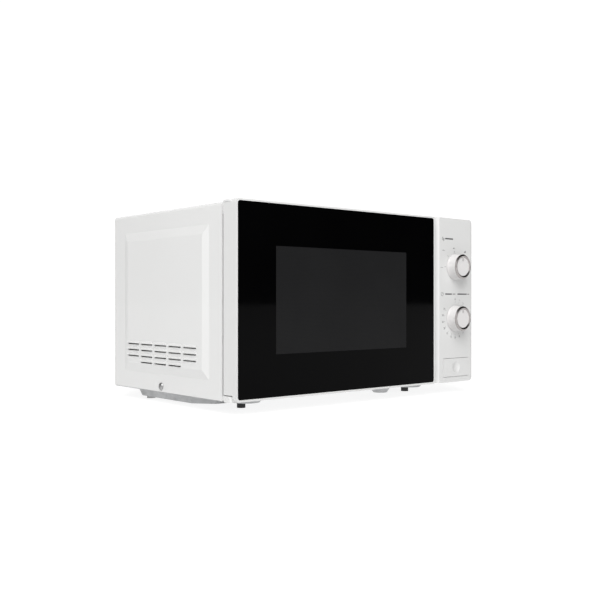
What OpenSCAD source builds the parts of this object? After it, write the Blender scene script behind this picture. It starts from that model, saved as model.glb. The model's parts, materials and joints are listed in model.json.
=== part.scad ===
// Counter-top microwave oven with two rotary knobs and a push-button door.
// Origin: middle of the footprint, on the surface the feet stand on.
// +X is to the right seen from the front, +Y is to the back, +Z is up.

/* [Case] */
// Width of the outer cover, without its raised side panels
body_w = 440; // [430:1:460]
// Height of the outer cover's top above the surface it stands on
cover_top = 256.5; // [252:0.5:262]
// Height of the outer cover's lower edge
cover_bottom = 17; // [15:0.5:19]
// Length of the outer cover from front to back
cover_d = 263.8; // [255:0.1:275]
// Thickness of the sheet steel
sheet = 0.8; // [0.6:0.1:1.2]
// Height of the raised panel on each side of the cover
emboss = 2.8; // [2:0.1:3.5]
// Depth of the bulge of the back plate behind the cavity
bulge = 28; // [24:1:30]

/* [Door and control panel] */
// Width of the door
door_w = 355.5; // [350:0.5:358]
// Thickness of the door
door_t = 25.7; // [24:0.1:27]
// Height of the door's lower edge
door_bottom = 17.5; // [17:0.1:19]
// Height of the door's upper edge
door_top = 258.2; // [255:0.1:260]
// Gap between the back of the door and the front of the case
seam = 3.8; // [3:0.1:4.5]
// Width of the gap between the door and the control panel
door_gap = 2.4; // [2:0.1:3]
// Thickness of the plastic walls
wall = 2.2; // [1.8:0.1:2.6]

/* [Knobs and button] */
// Radius of a knob at its skirt
knob_r = 19; // [18.5:0.5:21]
// Radius of a knob at its front
knob_front_r = 18; // [16:0.5:18]
// Width of the bright ring round a knob's face
ring_w = 4.6; // [3:0.2:5]
// How far a knob stands out of the control panel
knob_h = 16; // [14:0.5:18]
// Height of the power knob's axis
power_z = 187; // [180:1:192]
// Height of the timer knob's axis
timer_z = 111; // [105:1:116]

/* [Cooking cavity] */
// Inside width of the cavity
cavity_w = 306; // [300:1:310]
// Inside depth of the cavity
cavity_d = 284; // [270:1:286]
// Inside height of the cavity
cavity_h = 200; // [190:1:204]
// Radius of the glass turntable
tray_r = 127.5; // [120:0.5:132]

/* [Hidden] */
$fn = 48;

eps = 0.02;
gap = 0.3;
run_gap = 0.05;
left_x = -body_w/2;
right_x = body_w/2;
front_y = -154;
case_y = front_y + door_t + seam;
back_y = case_y + cover_d;
inner_w = body_w - 2*sheet;
frame_y = case_y + sheet;
door_r_x = left_x + door_w;
panel_l_x = door_r_x + door_gap;
knob_x = left_x + 400;
cavity_l_x = left_x + 24;
cavity_r_x = cavity_l_x + cavity_w;
cavity_x = (cavity_l_x + cavity_r_x)/2;
cavity_z = 42;
cavity_top = cavity_z + cavity_h;
cavity_back_y = frame_y + cavity_d;
tray_y = frame_y + cavity_d/2 - 2;
pan_z = 16;
hinge_x = left_x + 6;
hinge_y = front_y + 15.6;
pin_r = 2;
shaft_r = 3;
roller_r = 7.5;
roller_ring_r = 88;
roller_w = 7;
emboss_y0 = case_y + 26.5;
emboss_y1 = case_y + 234.5;
emboss_z0 = 40;
emboss_z1 = 231;
bevel_w = 12;
fan_x = 165;
fan_z = 178;
fan_y = back_y - 44;
fan_r = 40;
bench_x = cavity_r_x + 4;

white = [0.90, 0.90, 0.89];
zinc = [0.66, 0.67, 0.68];
dark = [0.05, 0.05, 0.06];
steel = [0.75, 0.75, 0.76];
copper = [0.72, 0.42, 0.25];

// A box given by its low corner and its high corner
module span(a, b) { translate(a) cube([b[0] - a[0], b[1] - a[1], b[2] - a[2]]); }

// A shaft or a bore along X, Y or Z from a point
module rod_x(p, r, l) { translate(p) rotate([0, 90, 0]) cylinder(r = r, h = l); }
module rod_y(p, r, l) { translate(p) rotate([-90, 0, 0]) cylinder(r = r, h = l); }
module rod_z(p, r, l) { translate(p) cylinder(r = r, h = l); }

// A rounded rectangle between two corners
module round_rect(a, b, r) {
    translate([a[0] + r, a[1]]) square([b[0] - a[0] - 2*r, b[1] - a[1]]);
    translate([a[0], a[1] + r]) square([b[0] - a[0], b[1] - a[1] - 2*r]);
    for (x = [a[0] + r, b[0] - r], y = [a[1] + r, b[1] - r]) translate([x, y]) circle(r = r);
}

// A plate seen from the front: an XZ outline made solid from y0 to y1
module front_plate(y0, y1) { translate([0, y1, 0]) rotate([90, 0, 0]) linear_extrude(y1 - y0) children(); }

// A body of revolution whose axis lies along Y and whose profile height runs to the front
module turned_y(x, y, z) { translate([x, y, z]) rotate([90, 0, 0]) rotate_extrude() children(); }

// ---------- Case ----------

// Outline of the case's upright walls and its rounded top, w wide and up to z1
module case_outline(w, z0, z1, r) {
    translate([-w/2, z0]) square([w, z1 - z0 - r]);
    translate([-w/2 + r, z0]) square([w - 2*r, z1 - z0]);
    for (x = [-w/2 + r, w/2 - r]) translate([x, z1 - r]) circle(r = r);
}

// The raised panel of a side: s is its side, t how far its skin lies inside the outer face
module side_emboss(s, t) {
    x0 = body_w/2 - sheet - 1;
    x1 = body_w/2 + emboss - t;
    intersection() {
        linear_extrude(300) polygon([
            [s*x0, emboss_y0 + t], [s*(body_w/2 - t), emboss_y0 + t], [s*x1, emboss_y0 + bevel_w + t],
            [s*x1, emboss_y1 - bevel_w - t], [s*(body_w/2 - t), emboss_y1 - t], [s*x0, emboss_y1 - t]]);
        front_plate(case_y, back_y) polygon([
            [s*x0, emboss_z0 + t], [s*(body_w/2 - t), emboss_z0 + t], [s*x1, emboss_z0 + bevel_w + t],
            [s*x1, emboss_z1 - bevel_w - t], [s*(body_w/2 - t), emboss_z1 - t], [s*x0, emboss_z1 - t]]);
    }
}

louvre_pitch_y = 35;
louvre_pitch_z = 8.15;
louvre_l = 29.5;
louvre_h = 4.2;
louvre_out = 1.6;
louvre_slot = 1.8;
louvre_z0 = 54.5;
panel_x = left_x - emboss;

// Places its child at each louvre of both sides: three full rows and a short bottom row
module at_louvres() {
    for (side = [0, 1], row = [0:3], col = [-2:2]) if (row > 0 || abs(col) < 2) mirror([side, 0, 0])
        translate([panel_x, case_y + 135.5 + col*louvre_pitch_y, louvre_z0 + row*louvre_pitch_z]) children();
}

// The hood of one louvre, a wedge that leans out of the panel and is open below
module louvre_hood(t) {
    translate([0, louvre_l/2 - t, 0]) rotate([90, 0, 0]) linear_extrude(louvre_l - 2*t)
        polygon([[0.4, -t], [-louvre_out + t, -t], [-louvre_out + t, 1 - t/2], [0.4, louvre_h - 2*t]]);
}

module outer_cover() {
    color(white) difference() {
        union() {
            front_plate(case_y, back_y) case_outline(body_w, cover_bottom, cover_top, 4.5);
            for (s = [-1, 1]) side_emboss(s, 0);
            at_louvres() louvre_hood(0);
        }
        front_plate(case_y - 1, back_y + 1) case_outline(inner_w, cover_bottom - 1, cover_top - sheet, 3.7);
        for (s = [-1, 1]) side_emboss(s, sheet);
        at_louvres() {
            louvre_hood(0.5);
            translate([-1, -louvre_l/2 + 0.5, -louvre_slot]) cube([4, louvre_l - 1, louvre_slot]);
            translate([-0.6, -louvre_l/2 + 0.5, -eps]) cube([3, louvre_l - 1, 1]);
        }
        for (s = [-1, 1]) rod_x([s*(body_w/2 - 4) - 5, case_y + 137.5, 24], 2, 10);
    }
}

vent_rows = 9;
bulge_l_x = cavity_l_x - 8;
bulge_r_x = cavity_r_x + 4;
bulge_z0 = 34;
bulge_z1 = 249;

module back_plate() {
    plate_y = back_y - sheet;
    color(zinc) difference() {
        union() {
            span([-inner_w/2, plate_y, pan_z + sheet], [inner_w/2, back_y, cover_top - sheet]);
            span([bulge_l_x, plate_y, bulge_z0], [bulge_r_x, back_y + bulge, bulge_z1]);
        }
        span([bulge_l_x + sheet, plate_y - 1, bulge_z0 + sheet],
            [bulge_r_x - sheet, back_y + bulge - sheet, bulge_z1 - sheet]);
        for (c = [-1, 1]) translate([c*(inner_w/2), plate_y - 1, cover_top - sheet]) rotate([0, 45, 0])
            translate([-3, 0, -3]) cube([6, 4, 6]);
        for (row = [0:vent_rows - 1])
            span([fan_x - 30, plate_y - 1, fan_z - 33 + row*8], [fan_x + 30, back_y + 1, fan_z - 29 + row*8]);
        for (row = [0:3])
            span([-150, back_y + bulge - 2, 190 + row*9], [-90, back_y + bulge + 1, 194 + row*9]);
        rod_y([fan_x - 10, plate_y - 1, 60], 8, 4);
        for (p = case_screw_places) rod_y([p[0], plate_y - 1, p[1]], 1.5, 4);
    }
}

rail_x0 = 15;
rail_x1 = 47;
boss_r = 24;
boss_dx = 8;
draft = 6;
pan_drop = 9.5;
rail_bottom = 5;
small_boss = [left_x + 287.5, front_y + 45];
small_boss_r = 16;
front_foot_x = [left_x + 62, left_x + 371];
front_foot_y = front_y + 74;
rear_foot_x = 31;
rear_foot_y = front_y + 245;

// The pressed-down features of the base plate, t inside their outer faces and open at z1
module base_pressings(t, z1) {
    z0 = pan_z - pan_drop + t;
    for (x = front_foot_x) translate([x + boss_dx, front_foot_y, z0])
        cylinder(r1 = boss_r - draft - t, r2 = boss_r - t, h = z1 - z0);
    translate([small_boss[0], small_boss[1], z0])
        cylinder(r1 = small_boss_r - draft - t, r2 = small_boss_r - t, h = z1 - z0);
    for (s = [-1, 1]) mirror([s < 0 ? 0 : 1, 0, 0]) translate([left_x, front_y, 0]) difference() {
        translate([0, 0, rail_bottom + t]) linear_extrude(z1 - rail_bottom - t) polygon([
            [rail_x0 + t, 118 + t], [36 + t, 92 + t], [rail_x1 + 8 - t, 92 + t],
            [rail_x1 + 8 - t, 130], [rail_x1 - t, 142], [rail_x1 - t, 253 - t], [rail_x0 + t, 253 - t]]);
        // The rail's outer rear corner slopes up to the plate
        rotate([90, 0, 90]) linear_extrude(rail_x0 + 9 + t)
            polygon([[241 - t, 4], [260, 4], [260, 23], [257 - t, 20]]);
    }
}

module base_plate() {
    half = inner_w/2 - 0.1;
    color(zinc) difference() {
        union() {
            span([-half, frame_y, pan_z], [half, back_y - sheet, pan_z + sheet]);
            for (s = [-1, 1]) span([s > 0 ? half - sheet : -half, frame_y, pan_z],
                [s > 0 ? half : -half + sheet, back_y - sheet - 1, pan_z + 14]);
            base_pressings(0, pan_z + sheet/2);
        }
        base_pressings(sheet, pan_z + sheet + 1);
        for (s = [-1, 1]) rod_x([s*half - 4, case_y + 137.5, 24], 1.6, 8);
        for (x = front_foot_x) rod_z([x, front_foot_y, 0], 2.5, 12);
        for (s = [-1, 1]) rod_z([s*(body_w/2 - rear_foot_x), rear_foot_y, 0], 2.5, 12);
        for (row = [0:5]) span([126, -70 + row*10, pan_z - 1], [166, -66 + row*10, pan_z + 2]);
    }
}

// ---------- Front frame and cavity ----------

frame_top = cover_top - sheet - 0.05;
frame_bottom = cover_bottom + 0.3;

module front_frame() {
    half = inner_w/2 - 0.05;
    color(white) difference() {
        union() {
            front_plate(case_y, frame_y) case_outline(2*half, frame_bottom, frame_top, 3.6);
            span([-half, frame_y, pan_z + sheet + 15], [-half + sheet, frame_y + 12, frame_top - 5]);
            span([half - sheet, frame_y, pan_z + sheet + 15], [half, frame_y + 12, frame_top - 5]);
            span([-half + 6, frame_y, frame_top - sheet], [half - 6, frame_y + 12, frame_top]);
        }
        front_plate(case_y - 1, frame_y + 1)
            round_rect([cavity_l_x, cavity_z], [cavity_r_x, cavity_top], 6);
        span([panel_l_x + 14, case_y - 1, 60], [right_x - 12, frame_y + 1, 226]);
        span([knob_x + 1, case_y - 1, 30], [right_x - 12, frame_y + 1, 56]);
        for (z = [hook_low_z, hook_high_z])
            span([hook_x - 3.5, case_y - 1, z - 7], [hook_x + 4, frame_y + 1, z + 9]);
    }
}

cav_out = 0.8;
hub_r = 9;

module oven_cavity() {
    x0 = cavity_l_x;
    x1 = cavity_r_x;
    color([0.82, 0.82, 0.80]) difference() {
        union() {
            front_plate(frame_y, cavity_back_y + cav_out)
                round_rect([x0 - cav_out, cavity_z - cav_out], [x1 + cav_out, cavity_top + cav_out], 6.8);
            rod_z([cavity_x, tray_y, cavity_z - 3.5], 34, 3.5);
        }
        front_plate(frame_y - 1, cavity_back_y) round_rect([x0, cavity_z], [x1, cavity_top], 6);
        rod_z([cavity_x, tray_y, cavity_z - 2.7], 33.2, 6);
        rod_z([cavity_x, tray_y, cavity_z - 6], hub_r, 8);
        span([x1 - 1, guide_y0 + 6, guide_z0 + 6], [x1 + 2, guide_y1 - 6, guide_z1 - 6]);
        for (row = [0:4], col = [0:5]) {
            rod_x([x1 - 2, lamp_y - 12.5 + col*5, lamp_z - 10 + row*5], 1.5, 5);
            rod_x([x0 - 3, 60 + col*6, 196 + row*6], 1.8, 5);
            rod_x([x1 - 2, 70 + col*6, 60 + row*6], 1.8, 5);
        }
    }
}

guide_y0 = -30;
guide_y1 = 60;
guide_z0 = 120;
guide_z1 = 176;
guide_d = 26;
lamp_y = -82;
lamp_z = 196;
mag_y = 14;
mag_z = 158;

module waveguide() {
    x0 = cavity_r_x + cav_out;
    color(zinc) difference() {
        span([x0, guide_y0, guide_z0], [x0 + guide_d, guide_y1, guide_z1]);
        span([x0 - 1, guide_y0 + sheet, guide_z0 + sheet],
            [x0 + guide_d - sheet, guide_y1 - sheet, guide_z1 - sheet]);
        rod_x([x0 + guide_d - 3, mag_y, mag_z - 12], 10, 6);
    }
}

module waveguide_cover() {
    color([0.80, 0.77, 0.70]) span([cavity_r_x - 0.5, guide_y0 + 2, guide_z0 + 2],
        [cavity_r_x, guide_y1 - 2, guide_z1 - 2]);
}

module cavity_lamp() {
    x = cavity_r_x + 14;
    color([1, 0.96, 0.85]) {
        translate([x, lamp_y, lamp_z]) sphere(r = 9);
        rod_z([x, lamp_y, lamp_z + 6], 6, 12);
        rod_z([x, lamp_y, lamp_z + 17], 4, 8);
    }
}

module lamp_holder() {
    x = cavity_r_x + cav_out;
    color([0.85, 0.85, 0.82]) difference() {
        span([x, lamp_y - 14, lamp_z + 19], [x + 27, lamp_y + 14, lamp_z + 36]);
        rod_z([x + 13.2, lamp_y, lamp_z + 10], 4, 15);
        rod_z([x + 13.2, lamp_y, lamp_z + 10], 6.2, 9);
    }
    color(zinc) difference() {
        span([x, lamp_y - 17, lamp_z - 18], [x + 30, lamp_y + 17, lamp_z + 19]);
        span([x - 1, lamp_y - 16, lamp_z - 17], [x + 29, lamp_y + 16, lamp_z + 20]);
    }
}

// ---------- Turntable ----------

motor_top = cavity_z - 3.5;

module turntable_motor() {
    color(steel) {
        difference() {
            rod_z([cavity_x, tray_y, motor_top - 15], 25, 15);
            rod_z([cavity_x, tray_y, motor_top - 12], 3.55, 13);
        }
        for (s = [-1, 1]) difference() {
            span([cavity_x + s*30 - 6, tray_y - 5, motor_top - 1],
                [cavity_x + s*30 + 6, tray_y + 5, motor_top]);
            rod_z([cavity_x + s*31, tray_y, motor_top - 3], 2, 5);
            rod_z([cavity_x, tray_y, motor_top - 3], 25, 5);
        }
    }
}

tray_z = cavity_z + 2*roller_r + 0.9;

module turntable_coupler() {
    color([0.9, 0.9, 0.88]) {
        rod_z([cavity_x, tray_y, motor_top - 10], 3.5, 14.5);
        rod_z([cavity_x, tray_y, cavity_z + 0.8], 8, 5);
        for (a = [0:120:240]) translate([cavity_x, tray_y, cavity_z + 0.8]) rotate([0, 0, a])
            translate([0, -3, 0]) cube([19, 6, tray_z - cavity_z - 1.1]);
        rod_z([cavity_x, tray_y, cavity_z + 0.8], 9.5, tray_z - cavity_z + 1.2);
    }
}

module turntable_tray() {
    t = 4;
    color([0.85, 0.92, 0.92, 0.5]) translate([cavity_x, tray_y, tray_z]) {
        difference() {
            rotate_extrude() polygon([[0, 0], [tray_r - 14, 0], [tray_r - 5, 2], [tray_r, 9], [tray_r, 12],
                [tray_r - 3, 12], [tray_r - 7, 6], [tray_r - 16, t], [0, t]]);
            translate([0, 0, -1]) cylinder(r = 10, h = 3.3);
        }
        for (a = [60:120:300]) rotate([0, 0, a]) translate([16, 0, -4]) cylinder(r = 3, h = 4);
    }
}

module roller_ring() {
    z = cavity_z + gap + roller_r;
    color([0.93, 0.93, 0.90]) {
        translate([cavity_x, tray_y, z - 3]) rotate_extrude()
            translate([roller_ring_r - 14, 0]) square([5, 6]);
        for (a = [0:120:240]) translate([cavity_x, tray_y, z]) rotate([0, 0, a]) rotate([0, 90, 0]) {
            translate([0, 0, roller_ring_r - 10]) cylinder(r = 1.8, h = 17);
            translate([0, 0, roller_ring_r + roller_w/2 + gap]) cylinder(r = 3, h = 1.5);
        }
    }
}

// One roller on the ring's stub, at angle a
module roller(a) {
    color([0.95, 0.95, 0.93]) translate([cavity_x, tray_y, cavity_z + gap + roller_r]) rotate([0, 0, a])
        rotate([0, 90, 0]) translate([0, 0, roller_ring_r - roller_w/2]) difference() {
            cylinder(r = roller_r, h = roller_w);
            translate([0, 0, -1]) cylinder(r = 1.8 + run_gap, h = roller_w + 2);
        }
}
module roller_right() { roller(0); }
module roller_left_back() { roller(120); }
module roller_left_front() { roller(240); }

// ---------- Door ----------

glass_x0 = left_x + 2.2;
glass_x1 = left_x + 352.3;
glass_z0 = 20;
glass_z1 = 256.1;
glass_t = 3.8;
notch_x = left_x + 12.8;
notch_y = front_y + 7.8;
low_notch_z = 24.8;
high_notch_z = 255.3;
hook_x = left_x + 343;
hook_low_z = 66;
hook_high_z = 214;

module door_frame() {
    inner = [left_x + wall + 8, door_bottom + wall + 8, door_r_x - wall - 8, door_top - wall - 8];
    color(white) difference() {
        front_plate(front_y, front_y + door_t) round_rect([left_x, door_bottom], [door_r_x, door_top], 4);
        // Pocket of the glass, then the open middle behind it
        front_plate(front_y - 1, front_y + 0.2 + glass_t)
            round_rect([glass_x0, glass_z0], [glass_x1, glass_z1], 3.5);
        span([inner[0], front_y, inner[1]], [inner[2], front_y + 30, inner[3]]);
        // Room for the inner panel and for the latch
        span([left_x + 16, front_y + 14, 27], [door_r_x - 6, front_y + 30, 249]);
        span([hook_x - 5, front_y + 8, 40], [door_r_x - 5, front_y + 30, 240]);
        // Hinge notches and the bores of the pins
        span([left_x - 1, notch_y, door_bottom - 1], [notch_x, front_y + 30, low_notch_z]);
        span([left_x - 1, notch_y, high_notch_z], [notch_x, front_y + 30, door_top + 1]);
        rod_z([hinge_x, hinge_y, low_notch_z - 1], pin_r + run_gap, 10.5);
        rod_z([hinge_x, hinge_y, high_notch_z - 9.5], pin_r + run_gap, 10.5);
    }
}

module door_glass() {
    color([0.03, 0.03, 0.035]) front_plate(front_y + 0.2, front_y + 0.2 + glass_t)
        round_rect([glass_x0 + 0.1, glass_z0 + 0.1], [glass_x1 - 0.1, glass_z1 - 0.1], 3.4);
}

window_x0 = left_x + 52;
window_x1 = left_x + 302;
window_z0 = 62;
window_z1 = 216;

module door_inner_panel() {
    y0 = front_y + 14;
    y1 = front_y + door_t + seam - 0.9;
    color(steel) difference() {
        span([left_x + 16, y0, 27], [hook_x - 6, y1 - 3, 249]);
        span([window_x0, y0 - 1, window_z0], [window_x1, y1 + 1, window_z1]);
        difference() {
            span([left_x + 17, y0 + 1, 28], [hook_x - 7, y1, 248]);
            span([window_x0 - 8, y0, window_z0 - 8], [window_x1 + 8, y1, window_z1 + 8]);
        }
    }
}

module door_screen() {
    color([0.15, 0.15, 0.16])
        span([window_x0 - 4, front_y + 13.4, window_z0 - 4], [window_x1 + 4, front_y + 14, window_z1 + 4]);
}

module door_inner_film() {
    y = front_y + door_t + seam - 3.9;
    color([0.7, 0.75, 0.78, 0.4])
        span([window_x0 - 6, y, window_z0 - 6], [window_x1 + 6, y + 0.4, window_z1 + 6]);
}

module choke_cover() {
    y0 = front_y + door_t + seam - 3.9;
    y1 = front_y + door_t + seam - 1.2;
    color(dark) difference() {
        front_plate(y0, y1) round_rect([left_x + 16, 27], [hook_x - 6, 249], 5);
        span([window_x0 - 6, y0 - 1, window_z0 - 6], [window_x1 + 6, y1 + 1, window_z1 + 6]);
    }
}

// Bar with two hooks that reach through the front frame and catch behind the interlock bracket
module latch_hooks() {
    y0 = front_y + 14;
    y1 = case_y - 6;
    color([0.93, 0.93, 0.91]) {
        span([hook_x - 4, y0, 52], [hook_x + 4, y1, 230]);
        for (z = [hook_low_z, hook_high_z]) {
            span([hook_x - 2, y1, z - 4], [hook_x + 2, case_y + 20, z + 3]);
            span([hook_x - 2, case_y + 15, z - 6], [hook_x + 2, case_y + 20, z - 4]);
        }
    }
}

spring_turns = 6;

// A compression spring drawn as a stack of rings on a thin core, h high
module ring_spring(r, wire, h, turns) {
    for (i = [0:turns - 1]) translate([0, 0, wire + i*(h - 2*wire)/(turns - 1)])
        rotate_extrude() translate([r - wire, 0]) circle(r = wire, $fn = 16);
    difference() {
        cylinder(r = r - wire, h = h);
        translate([0, 0, -1]) cylinder(r = r - 2*wire, h = h + 2);
    }
}

module latch_spring() {
    color(steel) translate([hook_x, front_y + 18, 230 + gap]) ring_spring(3, 0.5, 9, spring_turns);
}

// ---------- Hinges ----------

module hinge_lower() {
    color(white) {
        rod_z([hinge_x, hinge_y, 16], 6, 7.6);
        span([left_x, hinge_y, 16], [left_x + 12, front_y + 24.9, 23.6]);
        span([left_x + 2, front_y + 24.9, 17.5], [left_x + 12, case_y, 23.6]);
    }
    color(steel) rod_z([hinge_x, hinge_y, 23.6], pin_r, 9);
}

module hinge_upper() {
    z = high_notch_z + gap;
    color(white) {
        rod_z([hinge_x, hinge_y, z], 6, 2.2);
        span([left_x, hinge_y, z], [left_x + 12, front_y + 24.9, z + 2.2]);
        span([left_x + 2, front_y + 24.9, z], [left_x + 12, case_y, z + 2.2]);
        span([left_x + 2, case_y - 1.6, z - 13], [left_x + 12, case_y, z]);
    }
    color(steel) rod_z([hinge_x, hinge_y, z - 9], pin_r, 9);
}

// ---------- Control panel ----------

panel_top = door_top + 0.1;
button_x0 = left_x + 373;
button_x1 = left_x + 430;
button_gap = 0.2;
dimple_x = knob_x + 2;
dimple_z = 39;
dimple_r = 8.4;
dimple_depth = 2.4;
button_z0 = 25.5;
button_z1 = 52.2;

// Outline of the control panel in plan, t inside its outer face
module panel_plan(t) {
    polygon([[panel_l_x + t, case_y], [panel_l_x + t, front_y + 6 + t/2],
        [panel_l_x + 6.5 + t/2, front_y + t],
        [right_x - 4 - t/2, front_y + t], [right_x - 0.6 - t, front_y + 0.9 + t],
        [right_x - t, front_y + 1.8 + t], [right_x - t, case_y]]);
}

// The control panel as a solid block, t inside its outer faces
module panel_block(t) {
    intersection() {
        translate([0, 0, door_bottom + t]) linear_extrude(panel_top - door_bottom - 2*t) panel_plan(t);
        front_plate(front_y - 1, case_y + (t > 0 ? 1 : 0)) union() {
            translate([panel_l_x - 1, door_bottom + t]) square([50, panel_top - door_bottom - 2*t]);
            round_rect([panel_l_x, door_bottom + t], [right_x - t, panel_top - t], 8 - t);
        }
    }
}

module control_panel() {
    color(white) difference() {
        panel_block(0);
        difference() {
            panel_block(wall);
            span([button_x0 - 3, front_y, button_z0 - 3], [button_x1 + 3, front_y + 10, button_z1 + 3]);
        }
        span([button_x0 - button_gap, front_y - 1, button_z0 - 0.5],
            [button_x1 + button_gap, front_y + 12, button_z1 + 0.5]);
        for (z = [power_z, timer_z]) rod_y([knob_x, front_y - 1, z], 5, 6);
    }
}

// Height of the seat of a knob's ring
ring_z = knob_h - 2.2;

// Knob body: a skirted dial with a hub at its back and a D bore for the shaft
module knob(z) {
    color([0.86, 0.84, 0.83]) {
        difference() {
            turned_y(knob_x, front_y - gap, z) polygon([
                [0, 0], [knob_r, 0], [knob_r, 1.5], [knob_r - 0.4, 2.5],
                [knob_front_r, ring_z - 0.5], [knob_front_r - 0.3, ring_z],
                [knob_front_r - ring_w, ring_z], [knob_front_r - ring_w, ring_z + 0.8], [0, ring_z + 0.8]]);
            rod_y([knob_x, front_y - 11, z], knob_front_r - 4, 11.5);
            span([knob_x - 0.8, front_y - knob_h - 2, z + 7.5],
                [knob_x + 0.8, front_y - gap - ring_z - 0.4, z + 12.5]);
        }
        difference() {
            rod_y([knob_x, front_y - 11.05, z], 4.5, 11);
            rod_y([knob_x, front_y - 9.5, z], shaft_r, 12);
        }
    }
    color(steel) difference() {
        rod_y([knob_x, front_y - 9.5, z], shaft_r, 46.5);
        span([knob_x - 4, front_y - 10, z + 1.9], [knob_x + 4, front_y - 0.5, z + 4]);
    }
}

module knob_ring(z) {
    inner_r = knob_front_r - ring_w + 0.05;
    color([0.8, 0.8, 0.82]) turned_y(knob_x, front_y - gap, z) polygon([
        [inner_r, ring_z], [knob_front_r, ring_z], [knob_front_r, ring_z + 0.8],
        [knob_front_r - 1.8, knob_h - 0.15], [knob_front_r - 2.3, knob_h],
        [knob_front_r - 2.8, knob_h - 0.15],
        [inner_r, ring_z + 0.7]]);
}

module power_knob() { knob(power_z); }
module timer_knob() { knob(timer_z); }
module power_knob_ring() { knob_ring(power_z); }
module timer_knob_ring() { knob_ring(timer_z); }

unit_y = front_y + 13;

module power_selector() {
    color([0.2, 0.2, 0.22]) difference() {
        union() {
            span([knob_x - 21, unit_y, power_z - 18], [knob_x + 21, unit_y + 32, power_z + 20]);
            for (s = [-1, 1]) span([knob_x + s*15 - 3, front_y + wall, power_z + 12],
                [knob_x + s*15 + 3, unit_y, power_z + 18]);
        }
        rod_y([knob_x, unit_y - 1, power_z], shaft_r + run_gap, 26);
    }
}

module timer_unit() {
    color([0.85, 0.85, 0.83]) difference() {
        union() {
            span([knob_x - 27, unit_y, timer_z - 27], [knob_x + 27, unit_y + 46, timer_z + 27]);
            for (s = [-1, 1]) span([knob_x + s*20 - 3, front_y + wall, timer_z + 20],
                [knob_x + s*20 + 3, unit_y, timer_z + 26]);
        }
        rod_y([knob_x, unit_y - 1, timer_z], shaft_r + run_gap, 26);
    }
}

module timer_bell() {
    color(steel) turned_y(knob_x, unit_y + 56, timer_z)
        polygon([[0, 0], [12, 0], [19, 3], [22, 9], [21, 9], [18.3, 4], [12, 1], [3, 1], [3, 10], [0, 10]]);
}

// ---------- Door release ----------

// Push button: a plate with a finger dimple, a guide block behind it and a post with a round nose
module door_button() {
    ball_r = (dimple_r*dimple_r + dimple_depth*dimple_depth)/(2*dimple_depth);
    color(white) {
        difference() {
            span([button_x0, front_y - 0.4, button_z0], [button_x1, front_y + 3.5, button_z1]);
            translate([dimple_x, front_y - 0.4 + dimple_depth - ball_r, dimple_z]) sphere(r = ball_r);
        }
        span([button_x0 + 4, front_y + 3.5, button_z0 + 4], [button_x1 - 4, front_y + 11, button_z1 - 4]);
        span([post_x0, front_y + 11, post_z - nose_r], [post_x0 + 6, nose_y, post_z + nose_r]);
        rod_x([post_x0, nose_y, post_z], nose_r, 6);
    }
}

module button_spring() {
    spring_y = front_y + 11 + gap;
    color(steel) translate([knob_x - 16, spring_y, post_z]) rotate([-90, 0, 0])
        ring_spring(4, 0.6, case_y - spring_y, spring_turns);
}

lever_y = case_y + 6;
lever_z = 57;
post_x0 = knob_x + 4;
post_z = 39;
nose_r = 3;
arm_t = 1.5;
nose_y = lever_y - arm_t - gap - nose_r;
catch_x = hook_x + 4.2;
catch_t = 3;
ear_x = knob_x + 13;

// Lever on a level shaft: the button pushes its long arm back and its toe lifts the latch hooks
module release_lever() {
    hub_x = catch_x + catch_t + gap;
    color([0.92, 0.92, 0.9]) {
        rod_x([hub_x, lever_y, lever_z], 4, ear_x - gap - hub_x);
        rod_x([catch_x + gap, lever_y, lever_z], 2, catch_t);
        rod_x([ear_x - gap, lever_y, lever_z], 2, catch_t);
        span([post_x0 - 1, lever_y - arm_t, 34], [post_x0 + 7, lever_y + arm_t, lever_z]);
        span([hub_x, lever_y, lever_z + 0.5], [hub_x + 6, lever_y + 14, lever_z + 2.5]);
        span([hook_x - 1.5, lever_y + 7.5, lever_z + 0.5], [hub_x, lever_y + 14, lever_z + 2.5]);
    }
}

// Upright wall beside the hooks with the slots they catch in, and an ear for the lever's far end
module interlock_bracket() {
    color([0.95, 0.95, 0.93]) difference() {
        union() {
            span([catch_x, frame_y, 30], [catch_x + catch_t, frame_y + 24, 228]);
            span([catch_x + catch_t, frame_y + 0.5, 65], [ear_x + catch_t, frame_y + 12, 68]);
            span([ear_x, frame_y + 0.5, 51], [ear_x + catch_t, frame_y + 12, 65]);
        }
        span([catch_x - 1, frame_y + 8, 100], [catch_x + catch_t + 1, frame_y + 25, 170]);
        span([catch_x - 1, lever_y + 6, 54], [catch_x + catch_t + 1, frame_y + 25, 68]);
        for (x = [catch_x, ear_x]) rod_x([x - 1, lever_y, lever_z], 2 + run_gap, catch_t + 2);
    }
}

module micro_switches() {
    x = catch_x + catch_t;
    color([0.15, 0.15, 0.16]) for (z = [79, 212, 188])
        difference() {
            span([x, frame_y + 4, z - 8], [x + 10, frame_y + 24, z + 8]);
            rod_x([x - 1, frame_y + 9, z + 4], 1.2, 12);
        }
}

// ---------- Microwave source and cooling ----------

mag_x = cavity_r_x + cav_out + guide_d;

module magnetron() {
    color(steel) {
        span([mag_x, mag_y - 40, mag_z - 42], [mag_x + 1.2, mag_y + 40, mag_z + 18]);
        difference() {
            span([mag_x + 1.2, mag_y - 38, mag_z - 40], [mag_x + 46, mag_y + 38, mag_z + 16]);
            span([mag_x + 3, mag_y - 40, mag_z - 38], [mag_x + 44, mag_y + 40, mag_z + 14]);
        }
        for (i = [0:6])
            span([mag_x + 8 + i*5, mag_y - 36, mag_z - 38], [mag_x + 8.8 + i*5, mag_y + 36, mag_z + 14]);
        rod_x([mag_x + 3, mag_y, mag_z - 12], 18, 41);
        span([mag_x + 46, mag_y - 18, mag_z - 30], [mag_x + 60, mag_y + 18, mag_z + 6]);
    }
    color(copper) rod_x([mag_x - 20, mag_y, mag_z - 12], 7, 20);
}

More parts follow.
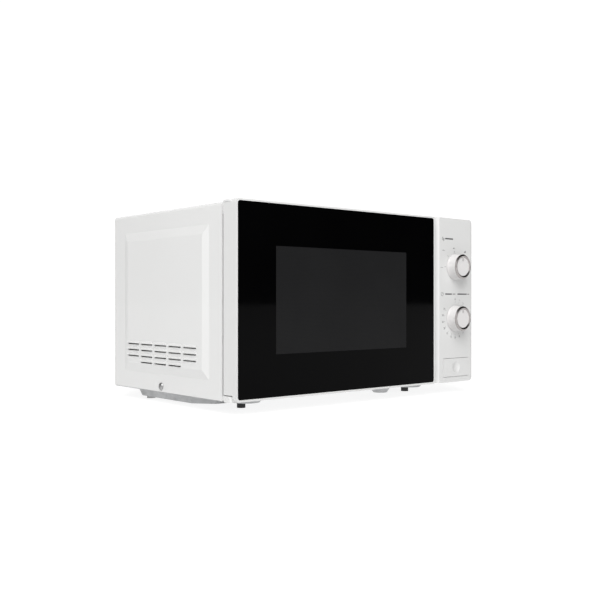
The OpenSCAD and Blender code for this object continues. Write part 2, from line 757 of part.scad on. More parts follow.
module transformer() {
    x = bench_x + 52;
    y = -48;
    z = pan_z + sheet;
    color([0.25, 0.24, 0.24]) difference() {
        span([x - 38, y - 30, z], [x + 38, y + 30, z + 62]);
        for (s = [-1, 1]) span([x + s*19 - 10, y - 31, z + 14], [x + s*19 + 10, y + 31, z + 48]);
    }
    color(copper) difference() {
        span([x - 29, y - 44, z + 14], [x + 29, y + 44, z + 48]);
        span([x - 9, y - 30, z + 14], [x + 9, y + 30, z + 48]);
        for (s = [-1, 1]) span([x + s*34 - 5, y - 30, z], [x + s*34 + 5, y + 30, z + 60]);
    }
}

module capacitor() {
    x = bench_x + 32;
    y = 84;
    color(steel) {
        span([x - 16, y - 34, pan_z + sheet], [x + 16, y + 34, pan_z + sheet + 52]);
        for (s = [-1, 1]) rod_y([x, y + s*34 - (s > 0 ? 0 : 9), pan_z + 27], 16, 9);
    }
    color(dark) for (s = [-1, 1])
        span([x - 3, y + s*12 - 1, pan_z + sheet + 52], [x + 3, y + s*12 + 1, pan_z + 64]);
}

module diode() {
    color(dark) rod_y([bench_x + 62, 70, pan_z + 20], 4, 22);
    color(steel) {
        rod_y([bench_x + 62, 50, pan_z + 20], 0.8, 20);
        rod_y([bench_x + 62, 92, pan_z + 20], 0.8, 14);
        span([bench_x + 60, 50, pan_z + sheet], [bench_x + 64, 51, pan_z + 20.5]);
    }
}

module fan_shroud() {
    color([0.9, 0.9, 0.88]) difference() {
        span([fan_x - 46, fan_y, fan_z - 46], [fan_x + 46, back_y - sheet, fan_z + 46]);
        rod_y([fan_x, fan_y - 1, fan_z], fan_r + 3, 60);
        span([fan_x - 44, fan_y + 24, fan_z - 44], [fan_x + 44, back_y, fan_z + 44]);
    }
    color([0.9, 0.9, 0.88]) difference() {
        span([fan_x - 44, fan_y + 24, fan_z - 6], [fan_x + 44, fan_y + 26, fan_z + 6]);
        rod_y([fan_x, fan_y + 23, fan_z], 7, 5);
    }
}

module fan_motor() {
    color(steel) difference() {
        span([fan_x - 22, fan_y + 26, fan_z - 18], [fan_x + 22, fan_y + 40, fan_z + 26]);
        rod_y([fan_x, fan_y + 25, fan_z], 1.6 + run_gap, 12);
    }
}

module fan_blade() {
    color([0.85, 0.87, 0.9]) difference() {
        union() {
            rod_y([fan_x, fan_y + 2, fan_z], 11, 18);
            for (a = [0:72:288]) translate([fan_x, fan_y + 11, fan_z]) rotate([0, a, 0])
                translate([8, 0, 0]) rotate([32, 0, 0]) translate([0, -0.6, -10]) cube([fan_r - 9, 1.2, 20]);
        }
        rod_y([fan_x, fan_y, fan_z], 1.5, 30);
    }
    color(steel) rod_y([fan_x, fan_y + 2, fan_z], 1.6, 33);
}

module air_duct() {
    x0 = mag_x + 4;
    color([0.92, 0.92, 0.9]) difference() {
        span([x0, mag_y + 40 + 1.5, mag_z - 40], [x0 + 44, fan_y, mag_z + 34]);
        span([x0 + 1.5, mag_y + 40, mag_z - 38.5], [x0 + 42.5, fan_y + 1, mag_z + 32.5]);
    }
}

module filter_board() {
    x = bench_x + 76;
    color([0.15, 0.4, 0.2]) span([x, 12, pan_z + 22], [x + 1.6, 66, pan_z + 68]);
    color([0.9, 0.75, 0.2]) {
        span([x - 14, 18, pan_z + 30], [x, 34, pan_z + 46]);
        span([x - 10, 42, pan_z + 30], [x, 58, pan_z + 44]);
    }
    color(steel) span([x - 8, 20, pan_z + sheet], [x + 1.6, 60, pan_z + 22]);
}

module thermal_cutouts() {
    color([0.9, 0.85, 0.7]) {
        rod_z([cavity_x - 60, 40, cavity_top + cav_out], 8, 6);
        rod_x([mag_x + 60, mag_y, mag_z - 12], 8, 6);
    }
}

// ---------- Small outer pieces ----------

case_screw_places = [[-212, 60], [-212, 220], [212, 235], [212, 40], [128, 250]];

module cord_gland() {
    color(dark) {
        rod_y([fan_x - 10, back_y - sheet - 3, 60], 7.8, 3.8);
        rod_y([fan_x - 10, back_y, 60], 10.5, 3);
        rod_y([fan_x - 10, back_y + 3, 60], 6, 16);
    }
}

module front_feet() {
    color(dark) for (x = front_foot_x) {
        rod_z([x, front_foot_y, 0], 5.5, pan_z - pan_drop);
        rod_z([x, front_foot_y, pan_z - pan_drop], 2.5, sheet + 1);
        rod_z([x, front_foot_y, pan_z - pan_drop + sheet + 0.05], 3.4, 1.5);
    }
}

module rear_feet() {
    color([0.6, 0.6, 0.6]) for (s = [-1, 1]) translate([s*(body_w/2 - rear_foot_x), rear_foot_y, 0]) {
        cylinder(r = 6, h = 5);
        translate([0, 0, 5]) cylinder(r = 2.5, h = sheet + 1);
        translate([0, 0, 5 + sheet + 0.05]) cylinder(r = 3.4, h = 1.5);
    }
}

module cover_screws() {
    color(steel) for (s = [-1, 1]) mirror([s > 0 ? 0 : 1, 0, 0]) {
        difference() {
            turned_head(body_w/2, case_y + 137.5, 24);
            span([body_w/2 + 1.4, case_y + 134.5, 23.5], [body_w/2 + 3, case_y + 140.5, 24.5]);
            span([body_w/2 + 1.4, case_y + 137, 21], [body_w/2 + 3, case_y + 138, 27]);
        }
        rod_x([body_w/2 - 4, case_y + 137.5, 24], 1.55, 4.2);
    }
}

// A pan screw head whose face looks along +X
module turned_head(x, y, z) {
    translate([x, y, z]) rotate([0, 90, 0]) rotate_extrude()
        polygon([[0, 0], [5, 0], [5, 0.8], [4.2, 1.8], [2.5, 2.3], [0, 2.4]]);
}

module case_screws() {
    color(steel) for (p = case_screw_places) translate([p[0], back_y, p[1]]) rotate([-90, 0, 0]) {
        difference() {
            rotate_extrude() polygon([[0, 0], [4, 0], [4, 0.8], [3, 1.9], [0, 2.1]]);
            translate([-2.5, -0.4, 1.2]) cube([5, 0.8, 2]);
            translate([-0.4, -2.5, 1.2]) cube([0.8, 5, 2]);
        }
        translate([0, 0, -4]) cylinder(r = 1.45, h = 4.1);
    }
}

module rear_spacer() {
    color(dark) difference() {
        span([cavity_x - 20, back_y + bulge, 228], [cavity_x + 20, back_y + bulge + 3, 240]);
        span([cavity_x - 14, back_y + bulge + 1.2, 231], [cavity_x + 14, back_y + bulge + 4, 237]);
    }
}

outer_cover();
back_plate();
base_plate();
front_frame();
oven_cavity();
waveguide();
waveguide_cover();
cavity_lamp();
lamp_holder();
turntable_motor();
turntable_coupler();
turntable_tray();
roller_ring();
roller_right();
roller_left_back();
roller_left_front();
door_frame();
door_glass();
door_inner_panel();
door_screen();
door_inner_film();
choke_cover();
latch_hooks();
latch_spring();
hinge_lower();
hinge_upper();
control_panel();
power_knob();
power_knob_ring();
timer_knob();
timer_knob_ring();
power_selector();
timer_unit();
timer_bell();
door_button();
button_spring();
release_lever();
interlock_bracket();
micro_switches();
magnetron();
transformer();
capacitor();
diode();
fan_motor();
fan_blade();
fan_shroud();
air_duct();
filter_board();
thermal_cutouts();
cord_gland();
front_feet();
rear_feet();
cover_screws();
case_screws();
rear_spacer();
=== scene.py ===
"""Microwave oven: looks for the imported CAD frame. Lengths are in metres, in the frame of the CAD model."""
import json
import math

import bmesh
import bpy
from mathutils import Matrix, Vector


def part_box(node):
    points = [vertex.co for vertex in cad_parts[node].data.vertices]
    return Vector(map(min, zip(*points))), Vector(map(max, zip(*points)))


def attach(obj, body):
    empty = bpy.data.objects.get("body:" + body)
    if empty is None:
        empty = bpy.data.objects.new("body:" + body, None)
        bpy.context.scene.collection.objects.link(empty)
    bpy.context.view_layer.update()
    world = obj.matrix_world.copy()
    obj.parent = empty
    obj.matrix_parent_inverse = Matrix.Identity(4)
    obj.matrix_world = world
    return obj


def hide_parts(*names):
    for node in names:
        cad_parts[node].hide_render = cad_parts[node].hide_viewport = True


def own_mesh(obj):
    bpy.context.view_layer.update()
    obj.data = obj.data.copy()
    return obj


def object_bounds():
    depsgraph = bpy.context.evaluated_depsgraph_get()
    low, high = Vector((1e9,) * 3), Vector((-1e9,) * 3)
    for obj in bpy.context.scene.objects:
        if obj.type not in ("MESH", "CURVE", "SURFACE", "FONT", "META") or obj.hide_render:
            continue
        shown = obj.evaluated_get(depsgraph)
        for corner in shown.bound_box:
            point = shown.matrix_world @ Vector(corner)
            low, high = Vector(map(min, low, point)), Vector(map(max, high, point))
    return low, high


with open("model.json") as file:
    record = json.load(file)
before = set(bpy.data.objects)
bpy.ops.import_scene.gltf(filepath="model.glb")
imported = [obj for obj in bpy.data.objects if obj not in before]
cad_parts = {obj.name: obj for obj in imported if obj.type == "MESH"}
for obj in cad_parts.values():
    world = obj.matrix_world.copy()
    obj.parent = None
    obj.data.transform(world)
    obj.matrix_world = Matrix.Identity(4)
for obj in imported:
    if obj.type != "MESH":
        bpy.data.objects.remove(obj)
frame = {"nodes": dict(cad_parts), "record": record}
cad_low, cad_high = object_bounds()

MM = 0.001
NODES = frame["nodes"]

# ---------- Places that the pieces are worked out from ----------

door_low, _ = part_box("door_frame")
panel_low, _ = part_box("control_panel")


def knob_centre(ring):
    """X and Z of a knob's axis, from its chrome ring."""
    low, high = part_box(ring)
    return (low.x + high.x) / 2, (low.z + high.z) / 2


KNOB_X, POWER_Z = knob_centre("power_knob_ring")
_, TIMER_Z = knob_centre("timer_knob_ring")
FRONT_Y = panel_low.y
PRINT = 0.06 * MM

# The lighter window of the door glass, measured from the door's left edge and from the floor
WINDOW_LOW = Vector((door_low.x + 60 * MM, 0, 72 * MM))
WINDOW_HIGH = Vector((door_low.x + 294 * MM, 0, 204.5 * MM))

# ---------- Nodes ----------


def new_material(name):
    """A node material, with its tree and its principled shader."""
    material = bpy.data.materials.new(name)
    material.use_nodes = True
    tree = material.node_tree
    return material, tree, tree.nodes["Principled BSDF"]


def noise(tree, scale, detail=3.0, stretch=(1, 1, 1)):
    """Noise in object coordinates, stretched along the axes that have a small factor."""
    coords = tree.nodes.new("ShaderNodeTexCoord")
    mapping = tree.nodes.new("ShaderNodeMapping")
    mapping.inputs["Scale"].default_value = stretch
    tree.links.new(coords.outputs["Object"], mapping.inputs["Vector"])
    texture = tree.nodes.new("ShaderNodeTexNoise")
    texture.inputs["Scale"].default_value = scale
    texture.inputs["Detail"].default_value = detail
    tree.links.new(mapping.outputs["Vector"], texture.inputs["Vector"])
    return texture.outputs["Fac"]


# Nearly all of the noise lies between these two values
NOISE_LOW = 0.3
NOISE_HIGH = 0.7


def ramp(tree, value, low, high):
    """Noise turned into a range of colours."""
    node = tree.nodes.new("ShaderNodeValToRGB")
    for element, position, colour in zip(node.color_ramp.elements, (NOISE_LOW, NOISE_HIGH), (low, high)):
        element.position = position
        element.color = colour
    tree.links.new(value, node.inputs["Fac"])
    return node.outputs["Color"]


def map_range(tree, value, from_min, from_max, to_min=0.0, to_max=1.0, interpolation="LINEAR"):
    """A value carried from one range to another, and held at the ends."""
    node = tree.nodes.new("ShaderNodeMapRange")
    node.interpolation_type = interpolation
    node.inputs["From Min"].default_value = from_min
    node.inputs["From Max"].default_value = from_max
    node.inputs["To Min"].default_value = to_min
    node.inputs["To Max"].default_value = to_max
    tree.links.new(value, node.inputs["Value"])
    return node.outputs["Result"]


def spread(tree, value, low, high):
    """Noise turned into a range of numbers."""
    return map_range(tree, value, NOISE_LOW, NOISE_HIGH, low, high)


def math_node(tree, operation, *values):
    """One Math node; each input is a number or a socket."""
    node = tree.nodes.new("ShaderNodeMath")
    node.operation = operation
    for socket, value in zip(node.inputs, values):
        if isinstance(value, (int, float)):
            socket.default_value = value
        else:
            tree.links.new(value, socket)
    return node.outputs["Value"]


def mix_colour(tree, fac, low, high):
    """Blends two colours or colour sockets."""
    node = tree.nodes.new("ShaderNodeMix")
    node.data_type = "RGBA"
    tree.links.new(fac, node.inputs["Factor"])
    for socket, value in ((node.inputs["A"], low), (node.inputs["B"], high)):
        if isinstance(value, tuple):
            socket.default_value = value
        else:
            tree.links.new(value, socket)
    return node.outputs["Result"]


def add_bump(tree, shader, height, strength, depth, invert=False):
    """Makes the surface follow a height, depth millimetres deep."""
    relief = tree.nodes.new("ShaderNodeBump")
    relief.invert = invert
    relief.inputs["Strength"].default_value = strength
    relief.inputs["Distance"].default_value = depth * MM
    tree.links.new(height, relief.inputs["Height"])
    tree.links.new(relief.outputs["Normal"], shader.inputs["Normal"])


def object_axes(tree):
    """The object coordinate's X, Y and Z sockets."""
    coords = tree.nodes.new("ShaderNodeTexCoord")
    split = tree.nodes.new("ShaderNodeSeparateXYZ")
    tree.links.new(coords.outputs["Object"], split.inputs["Vector"])
    return split.outputs


# ---------- Materials ----------


def shade(colour, factor):
    """A colour made darker or lighter, with an alpha of 1."""
    return tuple(min(1.0, c * factor) for c in colour) + (1.0,)


def finish_surface(name, colour, rough, metallic=0.0, tone=0.03, blotch=9.0, grain=900.0,
                   bump=0.1, depth=0.02, rough_spread=0.06, stretch=(1, 1, 1), coat=0.0):
    """A surface with colour that varies in soft patches, and a fine grain in its roughness and height."""
    material, tree, shader = new_material(name)
    patches = noise(tree, blotch, 4.0, stretch)
    fine = noise(tree, grain, 2.0, stretch)
    tones = ramp(tree, patches, shade(colour, 1 - tone), shade(colour, 1 + tone))
    tree.links.new(tones, shader.inputs["Base Color"])
    tree.links.new(spread(tree, fine, rough - rough_spread, rough + rough_spread), shader.inputs["Roughness"])
    add_bump(tree, shader, fine, bump, depth)
    shader.inputs["Metallic"].default_value = metallic
    shader.inputs["Coat Weight"].default_value = coat
    return material


GLASS_IOR = 1.48


def clear_surface(name, colour, rough):
    """Glass or film: it lets light through, with faint ripples."""
    material, tree, shader = new_material(name)
    ripples = noise(tree, 300.0, 2.0)
    tree.links.new(ramp(tree, ripples, shade(colour, 0.97), shade(colour, 1.0)), shader.inputs["Base Color"])
    tree.links.new(spread(tree, ripples, rough, rough + 0.03), shader.inputs["Roughness"])
    add_bump(tree, shader, ripples, 0.05, 0.02)
    shader.inputs["Transmission Weight"].default_value = 1.0
    shader.inputs["IOR"].default_value = GLASS_IOR
    return material


HOLE_PITCH = 1.9 * MM
HOLE_RADIUS = 0.62 * MM


def hole_pattern(tree):
    """1 in round holes set in staggered rows, 0 in the metal between them, on a sheet facing Y."""
    axes = object_axes(tree)
    row_pitch = HOLE_PITCH * math.sqrt(3) / 2
    row = math_node(tree, "DIVIDE", axes["Z"], row_pitch)
    odd = math_node(tree, "MODULO", math_node(tree, "ABSOLUTE", math_node(tree, "FLOOR", row)), 2.0)
    column = math_node(tree, "MULTIPLY_ADD", odd, 0.5, math_node(tree, "DIVIDE", axes["X"], HOLE_PITCH))
    squares = []
    for place, pitch in ((column, HOLE_PITCH), (row, row_pitch)):
        off = math_node(tree, "SUBTRACT", math_node(tree, "FRACT", place), 0.5)
        off = math_node(tree, "MULTIPLY", off, pitch)
        squares.append(math_node(tree, "MULTIPLY", off, off))
    distance = math_node(tree, "SQRT", math_node(tree, "ADD", *squares))
    return math_node(tree, "LESS_THAN", distance, HOLE_RADIUS)


def inside_window(tree, soft):
    """1 inside the door's window, falling to 0 over soft metres at its edge."""
    axes = object_axes(tree)
    nearest = None
    for axis, low, high in (("X", WINDOW_LOW.x, WINDOW_HIGH.x), ("Z", WINDOW_LOW.z, WINDOW_HIGH.z)):
        for first, second in ((axes[axis], low), (high, axes[axis])):
            edge = math_node(tree, "SUBTRACT", first, second)
            nearest = edge if nearest is None else math_node(tree, "MINIMUM", nearest, edge)
    return map_range(tree, nearest, 0.0, soft)


PRINTED_BLACK = ((0.0007, 0.0007, 0.0008, 1), (0.0009, 0.0009, 0.001, 1))
METAL_BEHIND_GLASS = ((0.0115, 0.0115, 0.012, 1), (0.0135, 0.0135, 0.014, 1))
# Colour of the screen's holes seen through the glass: painted shade, the dark inside the oven behind them
HOLE_SHADE_BEHIND_GLASS = (0.008, 0.008, 0.0083, 1)


def door_glass_material():
    """Black printed glass; in the window the perforated screen behind it is painted on as fine grey dots,
    with painted shade in its holes.
    """
    material, tree, shader = new_material("black_glass")
    haze = noise(tree, 14.0)
    # The dots: the screen's metal, with painted shade where the holes are
    dots = mix_colour(tree, hole_pattern(tree), ramp(tree, haze, *METAL_BEHIND_GLASS), HOLE_SHADE_BEHIND_GLASS)
    window = inside_window(tree, 0.4 * MM)
    face = mix_colour(tree, window, ramp(tree, haze, *PRINTED_BLACK), dots)
    tree.links.new(face, shader.inputs["Base Color"])
    smear = spread(tree, noise(tree, 60.0, 4.0), 0.035, 0.065)
    tree.links.new(math_node(tree, "MULTIPLY_ADD", window, 0.2, smear), shader.inputs["Roughness"])
    shader.inputs["Specular IOR Level"].default_value = 0.04
    shader.inputs["IOR"].default_value = 1.5
    return material


def screen_material():
    """Black enamelled sheet with staggered round holes, sunken by a bump; the holes are coloured near-black
    as painted shade.
    """
    material, tree, shader = new_material("screen_black")
    holes = hole_pattern(tree)
    fine = noise(tree, 700.0)
    sheet = ramp(tree, fine, (0.03, 0.03, 0.032, 1), (0.045, 0.045, 0.047, 1))
    # The holes' near-black colour is painted shade, the dark behind the sheet
    tree.links.new(mix_colour(tree, holes, sheet, (0.003, 0.003, 0.003, 1)), shader.inputs["Base Color"])
    tree.links.new(spread(tree, fine, 0.4, 0.6), shader.inputs["Roughness"])
    add_bump(tree, shader, holes, 0.6, 0.2, invert=True)
    return material


BRUSHED_X = (0.04, 1, 1)
BRUSHED_Z = (1, 1, 0.04)
LAMINATED = (1, 0.05, 1)
# Slot: colour, roughness and whatever differs from a plain finish
FINISHES = {
    "white_paint": ((0.60, 0.60, 0.595), 0.40,
                    dict(tone=0.008, bump=0.12, depth=0.03, grain=1400, coat=0.15)),
    "zinc_sheet": ((0.42, 0.425, 0.43), 0.42,
                   dict(metallic=0.85, tone=0.12, blotch=60, grain=500, rough_spread=0.12)),
    "cavity_enamel": ((0.60, 0.60, 0.58), 0.3, dict(tone=0.08, blotch=700, grain=300, bump=0.2, coat=0.4)),
    "mica": ((0.55, 0.47, 0.36), 0.6, dict(tone=0.12, blotch=160, bump=0.3, depth=0.05)),
    "lamp_bracket": ((0.6, 0.6, 0.6), 0.35, dict(metallic=0.9, stretch=BRUSHED_X)),
    "natural_plastic": ((0.74, 0.74, 0.70), 0.45, dict(tone=0.02, grain=1100, bump=0.2)),
    "white_plastic": ((0.565, 0.565, 0.56), 0.38, dict(tone=0.008, grain=1600, bump=0.12)),
    "black_plastic": ((0.018, 0.018, 0.019), 0.5, dict(tone=0.15, grain=1500, bump=0.4, depth=0.03)),
    "spring_steel": ((0.45, 0.45, 0.46), 0.3, dict(metallic=1.0, tone=0.08, blotch=200)),
    "knob_face": ((0.585, 0.573, 0.57), 0.33, dict(tone=0.012, grain=1500, bump=0.2)),
    "chrome_ring": ((0.36, 0.34, 0.335), 0.1, dict(metallic=1.0, grain=400, rough_spread=0.03, bump=0.05)),
    "bell_steel": ((0.62, 0.62, 0.63), 0.18, dict(metallic=1.0, tone=0.05, rough_spread=0.05)),
    "magnetron_metal": ((0.55, 0.55, 0.55), 0.35, dict(metallic=1.0, tone=0.08, stretch=BRUSHED_Z)),
    "transformer_iron": ((0.10, 0.095, 0.09), 0.45,
                         dict(metallic=0.5, tone=0.2, blotch=500, stretch=LAMINATED)),
    "can_aluminium": ((0.62, 0.62, 0.63), 0.32, dict(metallic=1.0, tone=0.06, stretch=BRUSHED_Z)),
    "fan_plastic": ((0.55, 0.63, 0.72), 0.4, {}),
    "board_green": ((0.05, 0.20, 0.09), 0.35, dict(tone=0.25, blotch=260, coat=0.3)),
    "ceramic_body": ((0.62, 0.55, 0.38), 0.5, dict(tone=0.06, blotch=300)),
    "black_rubber": ((0.016, 0.016, 0.016), 0.65, dict(tone=0.2, grain=1300, bump=0.5, depth=0.04)),
    "grey_plastic": ((0.40, 0.40, 0.40), 0.5, dict(tone=0.06, grain=1200, bump=0.3)),
    "screw_steel": ((0.36, 0.36, 0.36), 0.34, dict(metallic=1.0, tone=0.1, blotch=300)),
}
MATERIALS = {slot: finish_surface(slot, colour, rough, **rest)
             for slot, (colour, rough, rest) in FINISHES.items()}
MATERIALS["lamp_glass"] = clear_surface("lamp_glass", (1.0, 0.97, 0.9), 0.05)
MATERIALS["clear_glass"] = clear_surface("clear_glass", (0.90, 0.97, 0.95), 0.03)
MATERIALS["clear_film"] = clear_surface("clear_film", (0.95, 0.98, 0.98), 0.12)
MATERIALS["black_glass"] = door_glass_material()
MATERIALS["screen_black"] = screen_material()
PRINT_INK = finish_surface("print_ink", (0.045, 0.045, 0.048), 0.5, tone=0.15, blotch=900, grain=2500,
                           bump=0.2)
POINTER_INK = finish_surface("pointer_ink", (0.07, 0.06, 0.06), 0.45, tone=0.1, blotch=900, grain=2500)

for entry in frame["record"]["subparts"]:
    mesh = NODES[entry["node"]].data
    mesh.materials.clear()
    mesh.materials.append(MATERIALS[entry["material_slot"]])

# ---------- Rounded edges on the moulded parts and the glass ----------

EDGE_WIDTHS = {"door_frame": 0.6, "control_panel": 0.8, "door_button": 0.5, "hinge_lower": 0.7,
               "door_glass": 0.3, "rear_spacer": 0.5, "choke_cover": 0.4}


def round_edges(node, width):
    """Breaks a node's sharp edges with a narrow bevel, so that they catch the light as real edges do."""
    part = NODES[node]
    weld = part.modifiers.new("join_faces", "WELD")
    weld.merge_threshold = 0.005 * MM
    bevel = part.modifiers.new("soft_edges", "BEVEL")
    bevel.width = width * MM
    bevel.segments = 2
    bevel.limit_method = "ANGLE"
    bevel.angle_limit = math.radians(35)
    bevel.use_clamp_overlap = True
    bevel.harden_normals = False


for name, width in EDGE_WIDTHS.items():
    round_edges(name, width)

# ---------- Springs ----------


def add_piece(name, bm, material, body):
    """Turns a finished bmesh into a piece with the given material, which rides on a body."""
    mesh = bpy.data.meshes.new(name)
    bm.to_mesh(mesh)
    bm.free()
    mesh.materials.append(material)
    piece = bpy.data.objects.new(name, mesh)
    bpy.context.scene.collection.objects.link(piece)
    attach(piece, body)
    return piece


COIL_TURNS = 6
COIL_STEPS = 24
WIRE_SIDES = 8


def coil_spring(node, body, axis, wire):
    """A wound wire spring in place of a CAD node, fixed to the given body."""
    low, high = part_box(node)
    middle = (low + high) / 2
    along = Vector([float(i == axis) for i in range(3)])
    side = Vector((1, 0, 0))
    up = along.cross(side)
    coil_radius = (high.x - low.x) / 2 - wire
    length = high[axis] - low[axis]
    bm = bmesh.new()
    previous = None
    for step in range(COIL_TURNS * COIL_STEPS + 1):
        turn = math.tau * step / COIL_STEPS
        share = step / (COIL_TURNS * COIL_STEPS) - 0.5
        outward = side * math.cos(turn) + up * math.sin(turn)
        centre = middle + outward * coil_radius + along * (length - 2 * wire) * share
        ring = []
        for i in range(WIRE_SIDES):
            around = math.tau * i / WIRE_SIDES
            offset = outward * math.cos(around) + along * math.sin(around)
            ring.append(bm.verts.new(centre + offset * wire))
        if previous is None:
            bm.faces.new(ring)
        else:
            for i in range(WIRE_SIDES):
                j = (i + 1) % WIRE_SIDES
                bm.faces.new((previous[i], previous[j], ring[j], ring[i]))
        previous = ring
    bm.faces.new(previous)
    bmesh.ops.recalc_face_normals(bm, faces=bm.faces)
    piece = add_piece(node + "_coil", bm, MATERIALS["spring_steel"], body)
    piece.data.shade_smooth()
    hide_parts(node)
    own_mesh(piece)


coil_spring("button_spring", "case", 1, 0.6 * MM)
coil_spring("latch_spring", "door", 2, 0.5 * MM)

# ---------- Dial prints ----------


def bar(x0, z0, x1, z1, width):
    """The four corners of a straight line of ink."""
    along = Vector((x1 - x0, z1 - z0)).normalized()
    side = Vector((-along.y, along.x)) * width / 2
    return [(x0 + side.x, z0 + side.y), (x1 + side.x, z1 + side.y), (x1 - side.x, z1 - side.y),
            (x0 - side.x, z0 - side.y)]


def arc_band(x, z, radius, start, end, width, steps):
    """The outline of an arc of ink; angles are in degrees clockwise from 12 o'clock."""
    turn = [math.radians(start + (end - start) * i / steps) for i in range(steps + 1)]
    outer = [(x + math.sin(t) * (radius + width / 2), z + math.cos(t) * (radius + width / 2)) for t in turn]
    inner = [(x + math.sin(t) * (radius - width / 2), z + math.cos(t) * (radius - width / 2)) for t in turn]
    return outer + inner[::-1]


def printed(name, outlines, body, y, ink, thickness=PRINT):
    """One piece made of thin shapes in the XZ plane that stand a hair proud of the surface at y."""
    bm = bmesh.new()
    for points in outlines:
        bm.faces.new([bm.verts.new((x, 0.0, z)) for x, z in points])
    bmesh.ops.recalc_face_normals(bm, faces=bm.faces)
    out = bmesh.ops.extrude_face_region(bm, geom=list(bm.faces))
    bmesh.ops.translate(bm, verts=[v for v in out["geom"] if isinstance(v, bmesh.types.BMVert)],
                        vec=(0, -thickness, 0))
    bmesh.ops.translate(bm, verts=bm.verts, vec=(0, y, 0))
    bmesh.ops.recalc_face_normals(bm, faces=bm.faces)
    add_piece(name, bm, ink, body)


# The font's digits are shorter than its size by this factor
DIGIT_TO_SIZE = 1.4


def numeral(text, x, z, height):
    """A number as a flat mesh centred at x, z on the panel."""
    curve = bpy.data.curves.new("numeral_" + text, "FONT")
    curve.body = text
    curve.size = height * DIGIT_TO_SIZE
    curve.align_x = "CENTER"
    curve.align_y = "CENTER"
    curve.extrude = PRINT / 2
    source = bpy.data.objects.new("numeral_source", curve)
    mesh = bpy.data.meshes.new_from_object(source)
    bpy.data.objects.remove(source)
    upright = Matrix.Rotation(math.radians(90), 4, "X")
    mesh.transform(Matrix.Translation((x, FRONT_Y - PRINT / 2, z)) @ upright)
    return mesh


def on_dial(z, radius, degrees):
    """X and Z of a point on a dial, radius millimetres out, clockwise from 12 o'clock."""
    turn = math.radians(degrees)
    return KNOB_X + math.sin(turn) * radius * MM, z + math.cos(turn) * radius * MM


def tick(z, inner, outer, degrees, width):
    """A short line that points at a knob's axis, in millimetres."""
    return bar(*on_dial(z, inner, degrees), *on_dial(z, outer, degrees), width * MM)


MINUTES = ("0", "1", "2", "3", "4", "5", "6", "7", "8", "10", "12", "15", "20", "25", "30", "35")
MINUTE_STEP = 20


def timer_numbers():
    """Minutes round the timer knob, joined into one piece."""
    bm = bmesh.new()
    for i, label in enumerate(MINUTES):
        x, z = on_dial(TIMER_Z, 28.3, i * MINUTE_STEP)
        number = numeral(label, x, z, 2.9 * MM)
        bm.from_mesh(number)
        bpy.data.meshes.remove(number)
    add_piece("timer_numbers", bm, PRINT_INK, "case")


def timer_ticks():
    """A short tick inside each minute number."""
    ticks = [tick(TIMER_Z, 23.4, 25.2, i * MINUTE_STEP, 0.35) for i in range(len(MINUTES))]
    printed("timer_ticks", ticks, "case", FRONT_Y, PRINT_INK)


# Where each power level stands: degrees clockwise from 12 o'clock, and millimetres from the knob's axis
POWER_LEVELS = ((-90, 30), (-46, 36), (-5, 28.5), (44, 33), (90, 30))
LEVEL_PITCH = 1.15
LEVEL_FOOT = -1.7


def power_marks():
    """Five power levels round the power knob, each a rising row of one to five bars with a tick."""
    marks = []
    for level, (degrees, radius) in enumerate(POWER_LEVELS):
        marks.append(tick(POWER_Z, 21.5, 23.8, degrees, 0.55))
        x, z = on_dial(POWER_Z, radius, degrees)
        for i in range(5):
            left = x + (i - 2) * LEVEL_PITCH * MM
            top = -1.0 + 0.7 * i if i <= level else -1.2
            marks.append(bar(left, z + LEVEL_FOOT * MM, left, z + top * MM, 0.8 * MM))
    printed("power_marks", marks, "case", FRONT_Y, PRINT_INK)


# Plain bars beside the icons, where the titles would be: start and end from the knob's axis, and width, in mm
POWER_TITLE = ((-22.5, -5, 1.9),)
TIMER_TITLE = ((-22.5, -7.5, 1.8), (-5.5, 0.5, 1.0), (5.5, 27, 1.8), (28.5, 33, 1.0))


def title_marks():
    """A wave icon above the power dial and a clock icon above the timer dial, each with plain bars."""
    power_x, power_z = KNOB_X - 27 * MM, POWER_Z + 41 * MM
    clock_x, clock_z = KNOB_X - 29 * MM, TIMER_Z + 36 * MM
    marks = []
    for i in range(3):
        for j in range(2):
            marks.append(arc_band(power_x + (j * 2.4 - 1.2) * MM, power_z + (i * 1.5 - 2.2) * MM, 1.2 * MM,
                                  -90 + 180 * j, 90 + 180 * j, 0.4 * MM, 8))
    marks.append(arc_band(clock_x, clock_z, 2.6 * MM, 0, 350, 0.45 * MM, 24))
    marks.append(bar(clock_x, clock_z, clock_x, clock_z + 1.7 * MM, 0.4 * MM))
    marks.append(bar(clock_x, clock_z, clock_x + 1.2 * MM, clock_z, 0.4 * MM))
    for z, title in ((power_z, POWER_TITLE), (clock_z, TIMER_TITLE)):
        for start, end, width in title:
            marks.append(bar(KNOB_X + start * MM, z, KNOB_X + end * MM, z, width * MM))
    printed("title_marks", marks, "case", FRONT_Y, PRINT_INK)


def knob_pointer(knob, z):
    """The dark line at the top of a knob's face, set in the groove of the knob."""
    low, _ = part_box(knob)
    line = bar(KNOB_X, z + 8.2 * MM, KNOB_X, z + 12.4 * MM, 1.4 * MM)
    printed(knob + "_pointer", [line], knob, low.y + 0.45 * MM, POINTER_INK, 0.2 * MM)


timer_numbers()
timer_ticks()
power_marks()
title_marks()
knob_pointer("power_knob", POWER_Z)
knob_pointer("timer_knob", TIMER_Z)

# ---------- Studio ----------

AMBIENT = 0.22
KEY_PLACE = (-1.6, -1.55, 2.25)
KEY_TARGET = (0, 0, 0.12)
KEY_SIZE = 2.6
KEY_POWER = 126
BACKDROP = (0.62, 0.77, 0.15)
FRONT_BOX = (-0.25, -0.96, 0.1)
FLAG = (0.82, -0.57, 0.0)
CAMERA_PLACE = (-0.81222, -0.96072, 0.13827)
CAMERA_BEARING = -40.56
CAMERA_LENS = 51.07


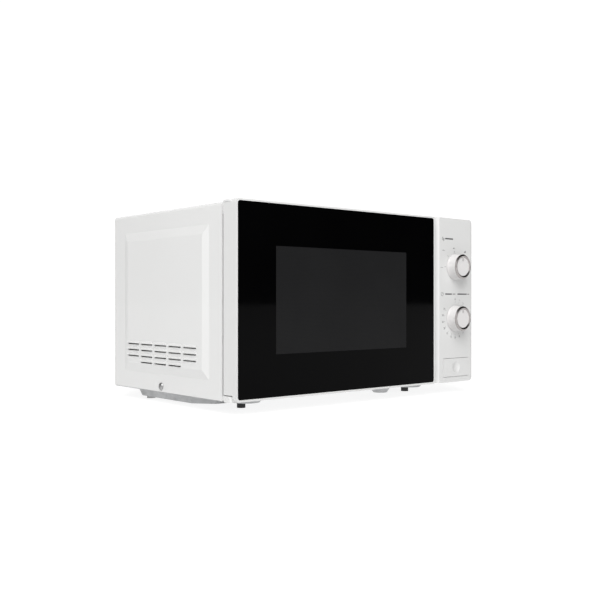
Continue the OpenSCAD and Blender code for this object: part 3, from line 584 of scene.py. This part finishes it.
def make_floor():
    """A plain pale floor that runs far behind the oven, and glows a little so that it stays pale."""
    bpy.ops.mesh.primitive_plane_add(size=40, location=(0, 0, cad_low.z))
    floor = bpy.context.object
    floor.name = "floor"
    material, tree, shader = new_material("floor")
    pale = ramp(tree, noise(tree, 3.0), (0.29, 0.29, 0.29, 1), (0.31, 0.31, 0.31, 1))
    tree.links.new(pale, shader.inputs["Base Color"])
    coords = tree.nodes.new("ShaderNodeTexCoord")
    distance = tree.nodes.new("ShaderNodeVectorMath")
    distance.operation = "LENGTH"
    tree.links.new(coords.outputs["Object"], distance.inputs[0])
    glow = map_range(tree, distance.outputs["Value"], 0.4, 3.0, 0.82, 0.95)
    tree.links.new(glow, shader.inputs["Emission Strength"])
    shader.inputs["Emission Color"].default_value = (1, 1, 1, 1)
    shader.inputs["Roughness"].default_value = 0.9
    shader.inputs["Specular IOR Level"].default_value = 0.0
    floor.data.materials.append(material)


def make_key_light():
    """One large square soft light, high at the front left."""
    data = bpy.data.lights.new("key", "AREA")
    data.energy = KEY_POWER
    data.size = KEY_SIZE
    light = bpy.data.objects.new("key", data)
    bpy.context.scene.collection.objects.link(light)
    light.location = KEY_PLACE
    light.rotation_euler = (Vector(KEY_TARGET) - Vector(KEY_PLACE)).to_track_quat("-Z", "Y").to_euler()


def lobe(tree, direction, facing, edge, middle, low, high):
    """A soft-edged patch of the studio round a direction: low outside it, high inside it."""
    dot = tree.nodes.new("ShaderNodeVectorMath")
    dot.operation = "DOT_PRODUCT"
    dot.inputs[1].default_value = Vector(facing).normalized()
    tree.links.new(direction, dot.inputs[0])
    return map_range(tree, dot.outputs["Value"], edge, middle, low, high, "SMOOTHSTEP")


def make_world():
    """A pale studio: a white backdrop behind the oven, a soft box in front, and a black flag from floor to
    ceiling at the front right, the side that the door's glass mirrors."""
    world = bpy.data.worlds.new("studio")
    bpy.context.scene.world = world
    world.use_nodes = True
    tree = world.node_tree
    coords = tree.nodes.new("ShaderNodeTexCoord")
    level = tree.nodes.new("ShaderNodeVectorMath")
    level.operation = "MULTIPLY"
    level.inputs[1].default_value = (1, 1, 0)
    tree.links.new(coords.outputs["Generated"], level.inputs[0])
    bearing = tree.nodes.new("ShaderNodeVectorMath")
    bearing.operation = "NORMALIZE"
    tree.links.new(level.outputs["Vector"], bearing.inputs[0])
    backdrop = lobe(tree, coords.outputs["Generated"], BACKDROP, 0.45, 0.86, AMBIENT, 1.05)
    front = lobe(tree, coords.outputs["Generated"], FRONT_BOX, 0.80, 0.96, 0.0, 1.0)
    flag = lobe(tree, bearing.outputs["Vector"], FLAG, 0.76, 0.993, 1.0, 0.012)
    soft_boxes = math_node(tree, "ADD", backdrop, front)
    background = tree.nodes["Background"]
    tree.links.new(math_node(tree, "MULTIPLY", soft_boxes, flag), background.inputs["Color"])


def make_camera():
    """The photographer's place: low, to the front left, level with the middle of the oven."""
    data = bpy.data.cameras.new("camera")
    data.lens = CAMERA_LENS
    data.sensor_width = 36
    data.clip_start = 0.05
    camera = bpy.data.objects.new("camera", data)
    bpy.context.scene.collection.objects.link(camera)
    camera.location = CAMERA_PLACE
    camera.rotation_euler = (math.radians(90), 0, math.radians(CAMERA_BEARING))
    bpy.context.scene.camera = camera


make_floor()
make_world()
make_camera()
make_key_light()
bpy.context.scene.view_settings.view_transform = "Standard"
